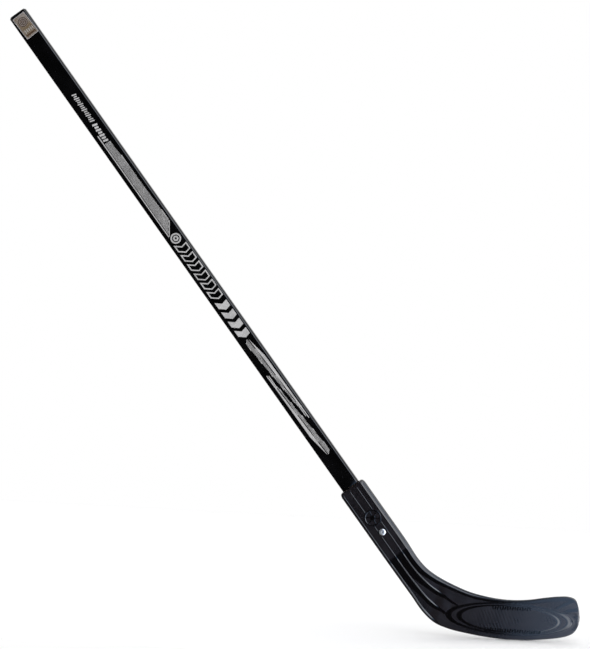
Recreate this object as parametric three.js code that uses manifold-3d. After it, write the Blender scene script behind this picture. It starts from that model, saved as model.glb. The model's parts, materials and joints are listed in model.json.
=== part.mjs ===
// Youth ice hockey stick: a laminated wooden shaft in a lacquer skin, glued and screwed into the
// socket of a moulded ABS blade. Millimetres, +Z up, in the playing pose: the sole rests on the
// floor at the origin, the blade's toe points along +X, the front face looks along -Y and the
// shaft leans back over -X.

import * as THREE from "three";
import { ParametricGeometry } from "three/addons/geometries/ParametricGeometry.js";
import { mergeVertices } from "three/addons/utils/BufferGeometryUtils.js";
import Module from "manifold-3d";

const wasm = await Module();
wasm.setup();

const degree = Math.PI / 180;

// ---- driving dimensions ------------------------------------------------------------------

const gap = 0.2; // clearance between pieces that touch on the real stick

const lie = {
  slope: 52 * degree, // shaft above the floor
  footX: -79.5, // where the shaft's centre line would meet the floor
};

// Places along the shaft are distances from that foot point.
const shaft = {
  width: 26,
  thickness: 16,
  bevel: 2.7, // the long corners are planed off, this much along each face
  butt: 1048,
  endChamfer: 2,
  lacquer: 0.3,
  facePly: 1.7,
  innerPlies: 5,
};

const socket = {
  mouth: 253,
  depth: 101,
  tenonShort: 3, // the tenon stops this far above the socket's floor
};

const screw = {
  at: 178,
  headWidth: 9.2,
  headHeight: 2.6,
  shank: 3.8,
  length: 15,
  tipLength: 4,
  recessSpan: 4.8,
  recessSlot: 1,
  recessDepth: 1.5,
};

const label = {
  length: 34,
  width: 19.4,
  corner: 1.2,
  thickness: 0.15,
  fromButt: 4,
  turn: 2.4 * degree, // stuck on slightly askew
};

const blade = {
  frontAtSocket: 11, // front face of the socket, from the shaft's mid-plane
  curveStart: -100, // the toe curve leaves the shaft's plane here
  toe: 86.5,
  curveDepth: 22,
  lipLength: 7, // rounded shoulders round the socket's mouth
  lipInset: 3.2,
  toeRound: 3,
  toeThin: 0.55, // of the thickness is left at the toe's very edge
  lipTaper: 0.5, // of the shoulders' inset is also taken off each face
  mostRound: 0.7, // of the half thickness, at most, goes into an edge's radius
};

const relief = {
  ridgeHeight: 0.7,
  ridges: [0.04, 0.345, 0.665, 0.96], // places across the face, from the sole edge
  ridgeHalfWidth: 0.035,
  fluteDepth: 1.1,
  fluteSide: 0.105, // a flute reaches its depth this far from a ridge
  fluteRun: 0.2, // and within this much of a section
  ovalHeight: 0.9,
  oval: { x: -10.2, z: 28.7, long: 87, high: 22, tilt: -1.9 * degree, slope: 0.3 },
};

// One row for each guiding section of the blade, from the socket's mouth to the toe: its point on
// the heel-and-sole edge, its point on the top edge, its thickness and its corner radius.
const alongShaft = (reach, across) => [
  lie.footX - reach * Math.cos(lie.slope) + across * Math.sin(lie.slope),
  reach * Math.sin(lie.slope) + across * Math.cos(lie.slope),
];
const sections = [
  { sole: alongShaft(socket.mouth, -19), top: alongShaft(socket.mouth, 19), thick: 22, corner: 3 },
  { sole: alongShaft(205, -19), top: alongShaft(205, 19), thick: 22, corner: 3 },
  { sole: alongShaft(150, -19), top: alongShaft(150, 19), thick: 22, corner: 3 },
  { sole: alongShaft(112, -18.9), top: alongShaft(120, 18), thick: 18.5, corner: 3 },
  { sole: [-146, 54.7], top: [-127, 93], thick: 15.5, corner: 2.9 },
  { sole: [-129.1, 33], top: [-114, 84], thick: 13, corner: 2.8 },
  { sole: [-113, 19.2], top: [-102, 77.7], thick: 11, corner: 2.6 },
  { sole: [-93, 11.4], top: [-86, 70.6], thick: 9.5, corner: 2.3 },
  { sole: [-68, 6.3], top: [-65, 62.9], thick: 8.4, corner: 2.1 },
  { sole: [-40, 2.3], top: [-39, 57.3], thick: 7.6, corner: 1.9 },
  { sole: [-12, -0.1], top: [-12, 54.7], thick: 7, corner: 1.8 },
  { sole: [14, -0.1], top: [14, 55.8], thick: 6.6, corner: 1.7 },
  { sole: [38, 1.9], top: [38, 59.5], thick: 6.2, corner: 1.6 },
  { sole: [56, 4], top: [56, 61.7], thick: 6, corner: 1.6 },
  { sole: [70, 7.2], top: [70, 61.8], thick: 5.8, corner: 1.6 },
  { sole: [79, 12], top: [79.5, 58.2], thick: 5.6, corner: 1.6 },
  { sole: [84.6, 20.8], top: [84.6, 46.3], thick: 5.4, corner: 1.6 },
  { sole: [blade.toe, 29.5], top: [blade.toe, 34.5], thick: 5.2, corner: 1.6 },
];
const fluteStart = 2.2; // the ridges turn into flutes at this section
const ridgeEnd = 6.5; // and run out here
const stepsPerSection = 4;
const roundSteps = 3; // facets of each rounded blade edge

const lipPlaces = [0, 0.02, 0.05, 0.09, 0.15]; // extra sections round the mouth
const toePlaces = [0.25, 0.5, 0.7, 0.85, 0.95, 1]; // and within the toe's last section
const bandStops = [0.35, 0.65]; // extra stops of an outline between two ridges
const labelSteps = 4; // facets of the label's rounded corners
const turnSteps = 24; // facets of the screw

// ---- materials ---------------------------------------------------------------------------

const paint = (color, roughness, metalness = 0) =>
  new THREE.MeshStandardMaterial({ color, roughness, metalness });

const materials = {
  birch: paint(0xd9bd8b, 0.6),
  poplar: paint(0xc9a873, 0.65),
  lacquer: paint(0x08080a, 0.12),
  abs: paint(0x26242a, 0.5),
  zinc: paint(0xd8dade, 0.3, 1),
  foil: paint(0x9a8468, 0.25, 0.8),
};

// ---- solids ------------------------------------------------------------------------------

// A closed geometry as a solid that can be cut; triangles with no area are dropped.
function toSolid(geometry) {
  const bare = geometry.clone();
  bare.deleteAttribute("normal");
  bare.deleteAttribute("uv");
  const merged = mergeVertices(bare, 1e-4);
  const index = merged.index.array;
  const kept = [];
  for (let i = 0; i < index.length; i += 3) {
    const [a, b, c] = [index[i], index[i + 1], index[i + 2]];
    if (a !== b && b !== c && c !== a) kept.push(a, b, c);
  }
  const mesh = new wasm.Mesh({
    numProp: 3,
    vertProperties: new Float32Array(merged.attributes.position.array),
    triVerts: new Uint32Array(kept),
  });
  return new wasm.Manifold(mesh);
}

function toGeometry(solid) {
  const { vertProperties, triVerts } = solid.getMesh();
  const geometry = new THREE.BufferGeometry();
  geometry.setAttribute("position", new THREE.BufferAttribute(vertProperties, 3));
  geometry.setIndex(new THREE.BufferAttribute(triVerts, 1));
  return geometry;
}

function roundedRectangle(width, height, corner) {
  const [x, y] = [width / 2, height / 2];
  const shape = new THREE.Shape();
  shape.moveTo(x - corner, -y);
  shape.absarc(x - corner, corner - y, corner, -90 * degree, 0);
  shape.absarc(x - corner, y - corner, corner, 0, 90 * degree);
  shape.absarc(corner - x, y - corner, corner, 90 * degree, 180 * degree);
  shape.absarc(corner - x, corner - y, corner, 180 * degree, 270 * degree);
  return shape;
}

function bevelledRectangle(width, height, bevel) {
  const [x, y] = [width / 2, height / 2];
  const corners = [[1, -1], [1, 1], [-1, 1], [-1, -1]].flatMap(([right, up], i) => {
    const onSide = [right * x, up * (y - bevel)];
    const onEnd = [right * (x - bevel), up * y];
    return i % 2 === 0 ? [onEnd, onSide] : [onSide, onEnd];
  });
  return new THREE.Shape(corners.map(([a, b]) => new THREE.Vector2(a, b)));
}

// What a bevel loses when every face of its bar moves in by one.
const bevelShrink = 2 - Math.SQRT2;

// A straight bar along Z with bevelled long edges and chamfered ends.
function bar(width, thickness, bevel, from, to, chamfer = 0) {
  const endBevel = bevel - bevelShrink * chamfer;
  const outline = bevelledRectangle(width - 2 * chamfer, thickness - 2 * chamfer, endBevel);
  const geometry = new THREE.ExtrudeGeometry(outline, {
    depth: to - from - 2 * chamfer,
    bevelEnabled: chamfer > 0,
    bevelThickness: chamfer,
    bevelSize: chamfer,
    bevelSegments: 1,
  });
  return geometry.translate(0, 0, from + chamfer);
}

// ---- shaft -------------------------------------------------------------------------------

const tenonEnd = socket.mouth - socket.depth + socket.tenonShort;
const longEnough = 40; // tools run past the surfaces they cut by this much

// The shaft's outer form less a skin of the given depth, with the same chamfer on the butt end.
// Below, it runs past the place where it is cut off.
function shaftForm(skin, lowEnd) {
  return toSolid(
    bar(
      shaft.width - 2 * skin,
      shaft.thickness - 2 * skin,
      shaft.bevel - bevelShrink * skin,
      lowEnd - longEnough,
      shaft.butt - skin,
      shaft.endChamfer,
    ),
  ).trimByPlane([0, 0, 1], lowEnd);
}

function screwHole(clearance) {
  const drill = new THREE.CylinderGeometry(
    screw.shank / 2 + clearance,
    screw.shank / 2 + clearance,
    2 * screw.length + 2 * clearance,
    turnSteps,
  );
  return toSolid(drill.translate(0, -blade.frontAtSocket, screw.at));
}

function makePlies() {
  const core = shaftForm(shaft.lacquer + gap, tenonEnd).subtract(screwHole(gap));
  const coreThickness = shaft.thickness - 2 * (shaft.lacquer + gap);
  const inner =
    (coreThickness - 2 * shaft.facePly - (shaft.innerPlies + 1) * gap) / shaft.innerPlies;
  const plies = [];
  let front = -coreThickness / 2;
  for (let i = 0; i < shaft.innerPlies + 2; i += 1) {
    const isFace = i === 0 || i === shaft.innerPlies + 1;
    const depth = isFace ? shaft.facePly : inner;
    const slab = core.trimByPlane([0, 1, 0], front).trimByPlane([0, -1, 0], -(front + depth));
    const ply = new THREE.Mesh(toGeometry(slab), isFace ? materials.birch : materials.poplar);
    if (i === 0) ply.name = "face_ply_front";
    else if (isFace) ply.name = "face_ply_back";
    else ply.name = `core_ply_${i}`;
    plies.push(ply);
    front += depth + gap;
  }
  return plies;
}

function makeLacquer() {
  const lowEnd = socket.mouth + gap;
  const skin = shaftForm(0, lowEnd).subtract(shaftForm(shaft.lacquer, lowEnd - longEnough / 2));
  const mesh = new THREE.Mesh(toGeometry(skin), materials.lacquer);
  mesh.name = "lacquer_coat";
  return mesh;
}

function makeLabel() {
  const outline = roundedRectangle(label.width, label.length, label.corner);
  const film = new THREE.ExtrudeGeometry(outline, {
    depth: label.thickness,
    curveSegments: labelSteps,
    bevelEnabled: false,
  });
  const mesh = new THREE.Mesh(film, materials.foil);
  mesh.name = "foil_label";
  mesh.rotation.set(90 * degree, 0, label.turn);
  const middle = shaft.butt - label.fromButt - label.length / 2;
  mesh.position.set(0, -shaft.thickness / 2 - gap, middle);
  return mesh;
}

// Pan-head screw, head up along its own +Y, which the mesh turns towards the front.
function makeScrew() {
  const head = screw.headWidth / 2;
  const shank = screw.shank / 2;
  const outline = [
    [0, -screw.length],
    [0.25, -screw.length],
    [shank, -screw.length + screw.tipLength],
    [shank, 0],
    [head, 0],
    [head, 0.35 * screw.headHeight],
    [0.93 * head, 0.68 * screw.headHeight],
    [0.76 * head, 0.9 * screw.headHeight],
    [0.5 * head, screw.headHeight],
    [0, screw.headHeight],
  ].map(([x, y]) => new THREE.Vector2(x, y));
  const body = toSolid(new THREE.LatheGeometry(outline, turnSteps));
  const slot = (x, z) =>
    toSolid(
      new THREE.BoxGeometry(x, 2 * screw.recessDepth, z).translate(0, screw.headHeight, 0),
    );
  const cross = slot(screw.recessSpan, screw.recessSlot).add(
    slot(screw.recessSlot, screw.recessSpan),
  );
  const mesh = new THREE.Mesh(toGeometry(body.subtract(cross)), materials.zinc);
  mesh.name = "blade_screw";
  mesh.rotation.x = 180 * degree;
  mesh.position.set(0, -blade.frontAtSocket - gap, screw.at);
  return mesh;
}

// ---- blade -------------------------------------------------------------------------------

const smooth = (value, low, high) => THREE.MathUtils.smoothstep(value, low, high);

// A quarter round: 0 at its start, 1 once the run has covered its length.
function quarterRound(run, length) {
  const left = 1 - THREE.MathUtils.clamp(run / length, 0, 1);
  return Math.sqrt(1 - left * left);
}

// How far the toe curve has swung the blade towards +Y at this X.
function curveAt(x) {
  const run = (x - blade.curveStart) / (blade.toe - blade.curveStart);
  return blade.curveDepth * Math.max(0, run) ** 2;
}

const soleRail = new THREE.CatmullRomCurve3(
  sections.map(({ sole: [x, z] }) => new THREE.Vector3(x, 0, z)),
);
const topRail = new THREE.CatmullRomCurve3(
  sections.map(({ top: [x, z] }) => new THREE.Vector3(x, 0, z)),
);

function between(key, place) {
  const low = Math.min(Math.floor(place), sections.length - 2);
  return THREE.MathUtils.lerp(sections[low][key], sections[low + 1][key], place - low);
}

// Height of the moulded pattern above the plain face, the same on both faces.
function reliefAt(place, across, x, z) {
  const swell = 1 - smooth(place, fluteStart + 1, ridgeEnd);
  const nearest = Math.min(...relief.ridges.map((ridge) => Math.abs(across - ridge)));
  const ridge = relief.ridgeHeight * swell * (1 - smooth(nearest, 0, relief.ridgeHalfWidth));
  const inFlutes = smooth(place, fluteStart, fluteStart + relief.fluteRun) * swell;
  const flute = relief.fluteDepth * inFlutes * smooth(nearest, 0, relief.fluteSide);
  const { oval } = relief;
  const [dx, dz] = [x - oval.x, z - oval.z];
  const along = (dx * Math.cos(oval.tilt) + dz * Math.sin(oval.tilt)) / oval.long;
  const up = (dz * Math.cos(oval.tilt) - dx * Math.sin(oval.tilt)) / oval.high;
  const boss = relief.ovalHeight * (1 - smooth(Math.hypot(along, up), 1 - oval.slope, 1));
  const [seatX, seatZ] = alongShaft(screw.at, 0);
  const seat = smooth(Math.hypot(x - seatX, z - seatZ), screw.headWidth / 2 + 1, screw.headWidth);
  return ridge * seat - flute + boss;
}

// The stops of one section's outline, in order round it. A stop is its place across the face, its
// side, and how far the outline has turned into the edge there.
function outlineStops() {
  const marks = [0, 1];
  for (const ridge of relief.ridges) {
    marks.push(ridge - relief.ridgeHalfWidth, ridge, ridge + relief.ridgeHalfWidth);
  }
  for (const [i, ridge] of relief.ridges.slice(0, -1).entries()) {
    const band = relief.ridges[i + 1] - ridge;
    marks.push(...bandStops.map((stop) => ridge + stop * band));
  }
  marks.sort((a, b) => a - b);
  const turns = Array.from({ length: roundSteps }, (_, i) => ((i + 1) * 90 * degree) / roundSteps);
  return [
    ...marks.map((across) => ({ across, side: -1, turn: 0 })),
    ...turns.map((turn) => ({ across: 1, side: -1, turn })),
    ...turns.toReversed().map((turn) => ({ across: 1, side: 1, turn })),
    ...marks.toReversed().map((across) => ({ across, side: 1, turn: 0 })),
    ...turns.map((turn) => ({ across: 0, side: 1, turn })),
    ...turns.toReversed().map((turn) => ({ across: 0, side: -1, turn })),
  ];
}

// The places of the lofted sections: even steps, with closer ones round the mouth and the toe.
function stationPlaces() {
  const last = sections.length - 1;
  const places = [...lipPlaces];
  for (let i = 2; i <= (last - 1) * stepsPerSection; i += 1) places.push(i / stepsPerSection);
  return [...places, ...toePlaces.map((part) => last - 1 + part)];
}

function bladeGeometry() {
  const stops = outlineStops().toReversed(); // this way round the faces point outwards
  const places = stationPlaces();
  const last = sections.length - 1;
  const [sole, top, direction] = [0, 0, 0].map(() => new THREE.Vector3());

  function surface(round, length, target) {
    const row = Math.round(length * (places.length + 1)) - 1; // first and last rows close the ends
    const isCap = row < 0 || row === places.length;
    const place = places[THREE.MathUtils.clamp(row, 0, places.length - 1)];
    const { across, side, turn } = stops[Math.round(round * stops.length) % stops.length];
    soleRail.getPoint(place / last, sole);
    topRail.getPoint(place / last, top);
    sole.z = Math.max(0, sole.z);
    const width = sole.distanceTo(top);
    direction.subVectors(top, sole).divideScalar(width);

    const fromMouth = place * soleRail.getPoint(0).distanceTo(soleRail.getPoint(1 / last));
    const inset = blade.lipInset * (1 - quarterRound(fromMouth, blade.lipLength));
    const toeFade = quarterRound(blade.toe - Math.max(sole.x, top.x), blade.toeRound);

    const corner = between("corner", place);
    const full = between("thick", place) / 2 - blade.lipTaper * inset;
    const half = THREE.MathUtils.lerp(blade.toeThin * full, full, toeFade);
    const radius = Math.min(corner, blade.mostRound * half);
    const swing = across === 0 ? -1 : 1;
    const clear = inset + radius;
    const alongFace = clear + across * (width - 2 * clear) + swing * radius * Math.sin(turn);
    const x = sole.x + direction.x * alongFace;
    const z = sole.z + direction.z * alongFace;
    const onFace = across > 0 && across < 1 ? reliefAt(place, across, x, z) * toeFade : 0;
    const out = side * (half - radius + radius * Math.cos(turn) + onFace);
    if (isCap) {
      const middleX = (sole.x + top.x) / 2;
      target.set(middleX, curveAt(middleX), (sole.z + top.z) / 2);
    } else {
      target.set(x, out + curveAt(x), z);
    }
  }
  return new ParametricGeometry(surface, stops.length, places.length + 1);
}

function makeBlade(shaftPlace) {
  const cavity = bar(
    shaft.width - 2 * shaft.lacquer,
    shaft.thickness - 2 * shaft.lacquer,
    shaft.bevel - bevelShrink * shaft.lacquer,
    socket.mouth - socket.depth,
    socket.mouth + longEnough,
  );
  const solid = toSolid(bladeGeometry())
    .subtract(toSolid(cavity).transform(shaftPlace.elements))
    .subtract(screwHole(gap).transform(shaftPlace.elements));
  const mesh = new THREE.Mesh(toGeometry(solid), materials.abs);
  mesh.name = "blade";
  return mesh;
}

// ---- assembly ----------------------------------------------------------------------------

const shaftGroup = new THREE.Group();
shaftGroup.position.x = lie.footX;
shaftGroup.rotation.y = lie.slope - 90 * degree;
shaftGroup.updateMatrix();
shaftGroup.add(...makePlies(), makeLacquer(), makeLabel(), makeScrew());

const stick = new THREE.Group();
stick.position.y = -curveAt(0); // the sole's resting patch is at the origin
stick.add(shaftGroup, makeBlade(shaftGroup.matrix));

export default stick;
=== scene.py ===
import json
import math
import bpy
import numpy as np
from mathutils import Matrix, Vector


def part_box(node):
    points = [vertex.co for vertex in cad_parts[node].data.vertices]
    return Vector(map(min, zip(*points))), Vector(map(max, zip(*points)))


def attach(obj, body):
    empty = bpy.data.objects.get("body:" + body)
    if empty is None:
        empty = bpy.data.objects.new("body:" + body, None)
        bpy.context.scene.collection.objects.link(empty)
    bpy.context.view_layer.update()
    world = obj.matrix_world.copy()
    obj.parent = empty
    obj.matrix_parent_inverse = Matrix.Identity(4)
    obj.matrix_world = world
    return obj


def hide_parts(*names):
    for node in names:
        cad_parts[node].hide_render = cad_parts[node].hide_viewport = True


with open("model.json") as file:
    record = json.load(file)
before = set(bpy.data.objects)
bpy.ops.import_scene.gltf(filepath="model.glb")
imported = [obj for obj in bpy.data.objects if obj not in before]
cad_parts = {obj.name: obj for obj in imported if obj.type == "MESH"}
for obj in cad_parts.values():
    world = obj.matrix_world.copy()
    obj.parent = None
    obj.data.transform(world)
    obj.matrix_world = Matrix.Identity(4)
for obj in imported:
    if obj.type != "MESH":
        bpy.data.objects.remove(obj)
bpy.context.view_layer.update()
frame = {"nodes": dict(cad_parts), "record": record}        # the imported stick: bodies, nodes and record
mm = 0.001

# where the stick is, read from the frame
mounts = {m["name"]: m for m in frame["record"]["mounts"]}
butt = Vector(mounts["butt_end"]["pos_m"])
upShaft = Vector(mounts["butt_end"]["axis"]).normalized()
acrossShaft = Vector(mounts["shaft_upper_edge"]["axis"]).normalized()
towardsFront = -Vector(mounts["shaft_back"]["axis"]).normalized()
halfWidth = (Vector(mounts["shaft_upper_edge"]["pos_m"]) - butt).dot(acrossShaft) / mm
halfDepth = (butt - Vector(mounts["shaft_back"]["pos_m"])).dot(towardsFront) / mm
buttReach = butt.z / upShaft.z / mm      # length of the centre line from the floor to the butt
foot = butt - upShaft * buttReach * mm
shaftY = butt.y / mm                     # mid-plane of the shaft

# local millimetres on the shaft (down from the butt, across, out of the front) to the row frame
shaftPlace = Matrix.Translation(butt) @ Matrix((
    (-upShaft.x, acrossShaft.x, towardsFront.x, 0),
    (-upShaft.y, acrossShaft.y, towardsFront.y, 0),
    (-upShaft.z, acrossShaft.z, towardsFront.z, 0),
    (0, 0, 0, 1))) @ Matrix.Scale(mm, 4)


def meshPiece(name, points, faces, material, smooth=True):
    mesh = bpy.data.meshes.new(name)
    mesh.from_pydata([tuple(p) for p in points], [], faces)
    mesh.validate()
    mesh.polygons.foreach_set("use_smooth", [smooth] * len(mesh.polygons))
    mesh.materials.append(material)
    piece = bpy.data.objects.new(name, mesh)
    bpy.context.scene.collection.objects.link(piece)
    return piece


def smoothStep(value, low, high):
    t = np.clip((value - low) / (high - low), 0, 1)
    return t * t * (3 - 2 * t)


def ringFaces(rows, around):     # quads between closed rings laid down one after another
    faces = []
    for row in range(rows - 1):
        a = row * around
        for i in range(around):
            j = (i + 1) % around
            faces.append((a + i, a + j, a + around + j, a + around + i))
    return faces


def closedFaces(rows, around):     # ring faces, then a fan at each end to the two points laid down last
    faces = ringFaces(rows, around)
    start, end = rows * around, rows * around + 1
    for i in range(around):
        j = (i + 1) % around
        faces.append((start, j, i))
        faces.append((end, start - around + i, start - around + j))
    return [tuple(reversed(face)) for face in faces]


def turnsLeft(loop):     # whether a closed outline runs anticlockwise
    return sum(a[0] * b[1] - b[0] * a[1] for a, b in zip(loop, loop[1:] + loop[:1])) > 0


def standOn(piece, node):     # every piece rides on the one body of the stick
    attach(piece, "root")
    if node:
        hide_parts(node)


# camera, near the height of the blade and far away
view = {"azimuth": 3.2, "elevation": 2.4, "roll": 2.73, "lens": 200, "sensor": 36, "distance": 4.95,
        "soleRight": 0.3027, "soleBelow": 0.4329}     # from the picture's middle to the sole's patch

def makeCamera():
    az, el, roll = (math.radians(view[key]) for key in ("azimuth", "elevation", "roll"))
    level = Vector((math.cos(az), math.sin(az), 0))
    rise = Vector((-math.sin(az) * math.sin(el), math.cos(az) * math.sin(el), math.cos(el)))
    back = Vector((math.sin(az) * math.cos(el), -math.cos(az) * math.cos(el), math.sin(el)))
    right = level * math.cos(roll) + rise * math.sin(roll)
    up = rise * math.cos(roll) - level * math.sin(roll)
    camera = bpy.data.objects.new("camera", bpy.data.cameras.new("camera"))
    bpy.context.scene.collection.objects.link(camera)
    camera.data.lens = view["lens"]
    camera.data.sensor_width = view["sensor"]
    camera.data.clip_end = 50
    target = up * view["soleBelow"] - right * view["soleRight"]
    place = target + back * view["distance"]
    camera.matrix_world = Matrix((
        (right.x, up.x, back.x, place.x),
        (right.y, up.y, back.y, place.y),
        (right.z, up.z, back.z, place.z),
        (0, 0, 0, 1)))
    bpy.context.scene.camera = camera

makeCamera()
print("camera ready")


# node helpers
def addNode(tree, kind, inputs=(), **settings):
    node = tree.nodes.new(kind)
    for key, value in settings.items():
        setattr(node, key, value)
    for key, value in dict(inputs).items():
        if isinstance(value, bpy.types.NodeSocket):
            tree.links.new(value, node.inputs[key])
        else:
            node.inputs[key].default_value = value
    return node


def addMath(tree, operation, a, b=0.0, clamp=False):
    return addNode(tree, "ShaderNodeMath", {0: a, 1: b}, operation=operation, use_clamp=clamp).outputs[0]


def addRange(tree, value, low, high, toLow=0.0, toHigh=1.0):
    node = addNode(tree, "ShaderNodeMapRange",
                   {"Value": value, "From Min": low, "From Max": high, "To Min": toLow, "To Max": toHigh},
                   interpolation_type="SMOOTHSTEP")
    return node.outputs["Result"]


def addMix(tree, factor, a, b):
    node = addNode(tree, "ShaderNodeMix", data_type="RGBA")
    for key, value in ((0, factor), (6, a), (7, b)):
        if isinstance(value, bpy.types.NodeSocket):
            tree.links.new(value, node.inputs[key])
        else:
            node.inputs[key].default_value = value
    return node.outputs[2]


def addShade(tree, level, colour=(1, 1, 1)):      # a colour whose brightness follows a value
    return addNode(tree, "ShaderNodeCombineColor",
                   {i: addMath(tree, "MULTIPLY", level, colour[i]) for i in range(3)}).outputs[0]


# studio: plain white to the camera and soft light from above; reflections see a dark front, a tall
# softbox at the right that turns from cool to neutral further round, and white behind
studio = {"nearFrom": 11, "nearFull": 25, "nearLevel": 2.2, "nearColour": (0.46, 0.66, 1.0),
          "farFrom": 33, "farFull": 50, "farLevel": 8.0, "farColour": (1.0, 0.97, 0.93),
          "softboxUntil": 66, "softboxGone": 88, "tall": 0.3, "tallEnd": 0.42, "spill": 0.7,
          "sideFrom": 60, "sideFull": 85, "side": 1.4, "turnsBack": (-0.1, 0.5),
          "behindFrom": (0.12, 0.35), "behind": 1.0, "front": 0.004,
          "rises": (-0.6, 0.9), "overhead": (0.55, 1.25)}

def makeStudio():
    world = bpy.data.worlds.new("studio")
    bpy.context.scene.world = world
    world.use_nodes = True
    tree = world.node_tree
    tree.nodes.clear()
    heading = addNode(tree, "ShaderNodeTexCoord").outputs["Generated"]
    part = addNode(tree, "ShaderNodeSeparateXYZ", {0: heading})
    turned = addMath(tree, "ARCTAN2", part.outputs["X"], addMath(tree, "MULTIPLY", part.outputs["Y"], -1.0))
    azimuth = addMath(tree, "MULTIPLY", turned, 180 / math.pi)      # 0 towards the camera, 90 right
    near = addRange(tree, azimuth, studio["nearFrom"], studio["nearFull"], 0.0, studio["nearLevel"])
    far = addRange(tree, azimuth, studio["farFrom"], studio["farFull"], 0.0,
                   studio["farLevel"] - studio["nearLevel"])
    falling = addRange(tree, azimuth, studio["softboxUntil"], studio["softboxGone"], 1.0, 0.0)
    highEnough = addRange(tree, part.outputs["Z"], -studio["tallEnd"], -studio["tall"], studio["spill"], 1.0)
    notTooHigh = addRange(tree, part.outputs["Z"], studio["tall"], studio["tallEnd"], 1.0, studio["spill"])
    level = addMath(tree, "MULTIPLY", highEnough, notTooHigh)
    window = addMath(tree, "MULTIPLY", falling, level)
    lit = [addMath(tree, "MULTIPLY", window,
                   addMath(tree, "ADD", addMath(tree, "MULTIPLY", near, studio["nearColour"][i]),
                           addMath(tree, "MULTIPLY", far, studio["farColour"][i]))) for i in range(3)]
    side = addMath(tree, "MULTIPLY", addRange(tree, azimuth, studio["sideFrom"], studio["sideFull"]),
                   addRange(tree, part.outputs["Y"], *studio["turnsBack"], studio["side"], studio["behind"]))
    behind = addRange(tree, part.outputs["Y"], *studio["behindFrom"], 0.0, studio["behind"])
    rest = addMath(tree, "MAXIMUM", addMath(tree, "MAXIMUM", side, behind), studio["front"])
    glow = addNode(tree, "ShaderNodeCombineColor", dict(enumerate(lit))).outputs[0]
    reflected = addMix(tree, addMath(tree, "MINIMUM", lit[2], 1.0), addShade(tree, rest), glow)
    paths = addNode(tree, "ShaderNodeLightPath")
    overhead = addRange(tree, part.outputs["Z"], *studio["rises"], *studio["overhead"])
    colour = addMix(tree, paths.outputs["Is Diffuse Ray"], reflected, addShade(tree, overhead))
    colour = addMix(tree, paths.outputs["Is Camera Ray"], colour, (1, 1, 1, 1))
    background = addNode(tree, "ShaderNodeBackground", {"Color": colour})
    out = addNode(tree, "ShaderNodeOutputWorld")
    tree.links.new(background.outputs[0], out.inputs["Surface"])
    world.cycles.sampling_method = "NONE"
    bpy.context.scene.view_settings.view_transform = "Standard"

makeStudio()
print("studio ready")


# shared surface effects
def newGroup(name, ins, outs):
    group = bpy.data.node_groups.new(name, "ShaderNodeTree")
    for label, start in ins:
        socket = group.interface.new_socket(label, in_out="INPUT", socket_type="NodeSocketFloat")
        socket.default_value = start
    for label in outs:
        group.interface.new_socket(label, in_out="OUTPUT", socket_type="NodeSocketFloat")
    return group, addNode(group, "NodeGroupInput"), addNode(group, "NodeGroupOutput")


def makeSpeckle():       # fine moulded or sprayed texture, and a slow drift of tone
    group, given, out = newGroup("speckle", [("Fine scale", 2500), ("Drift scale", 30)], ["Fine", "Drift"])
    place = addNode(group, "ShaderNodeTexCoord").outputs["Object"]
    fine = addNode(group, "ShaderNodeTexNoise",
                   {"Vector": place, "Scale": given.outputs["Fine scale"], "Detail": 2.0, "Roughness": 0.6})
    drift = addNode(group, "ShaderNodeTexNoise",
                    {"Vector": place, "Scale": given.outputs["Drift scale"], "Detail": 3.0})
    group.links.new(fine.outputs["Fac"], out.inputs["Fine"])
    group.links.new(drift.outputs["Fac"], out.inputs["Drift"])
    return group


def makeAlongGrain():    # streaks that run down the shaft, for lacquer over wood and for the plies
    group, given, out = newGroup("alongGrain", [("Scale", 900), ("Stretch", 0.04)], ["Streak", "Cloud"])
    place = addNode(group, "ShaderNodeTexCoord").outputs["Object"]
    slope = math.atan2(upShaft.z, upShaft.x)
    turned = addNode(group, "ShaderNodeVectorRotate", {"Vector": place, "Angle": slope},
                     rotation_type="Y_AXIS")
    part = addNode(group, "ShaderNodeSeparateXYZ", {0: turned.outputs[0]})
    long = addMath(group, "MULTIPLY", part.outputs["X"], given.outputs["Stretch"])
    squeezed = addNode(group, "ShaderNodeCombineXYZ", {0: long, 1: part.outputs["Y"], 2: part.outputs["Z"]})
    streak = addNode(group, "ShaderNodeTexNoise",
                     {"Vector": squeezed.outputs[0], "Scale": given.outputs["Scale"], "Detail": 3.0})
    cloud = addNode(group, "ShaderNodeTexNoise",
                    {"Vector": turned.outputs[0], "Scale": 40.0, "Detail": 4.0})
    group.links.new(streak.outputs["Fac"], out.inputs["Streak"])
    group.links.new(cloud.outputs["Fac"], out.inputs["Cloud"])
    return group


speckle = makeSpeckle()
alongGrain = makeAlongGrain()


def newMaterial(name, colour, roughness, metallic=0.0, specular=0.5):
    material = bpy.data.materials.new(name)
    material.use_nodes = True
    tree = material.node_tree
    shader = tree.nodes["Principled BSDF"]
    shader.inputs["Base Color"].default_value = (*colour, 1)
    shader.inputs["Roughness"].default_value = roughness
    shader.inputs["Metallic"].default_value = metallic
    shader.inputs["Specular IOR Level"].default_value = specular
    return material, tree, shader


def useGroup(tree, group, **values):
    node = addNode(tree, "ShaderNodeGroup")
    node.node_tree = group
    for key, value in values.items():
        node.inputs[key.replace("_", " ")].default_value = value
    return node


def addBump(tree, shader, height, strength, distance):
    bump = addNode(tree, "ShaderNodeBump", {"Height": height, "Strength": strength, "Distance": distance})
    tree.links.new(bump.outputs["Normal"], shader.inputs["Normal"])


plasticLook = {"matte": (0.0088, 0.007, 0.0088), "polished": (0.0028, 0.0026, 0.0032),
               "matteRough": (0.26, 0.32), "polishedRough": 0.12, "coarser": 0.45}

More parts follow.
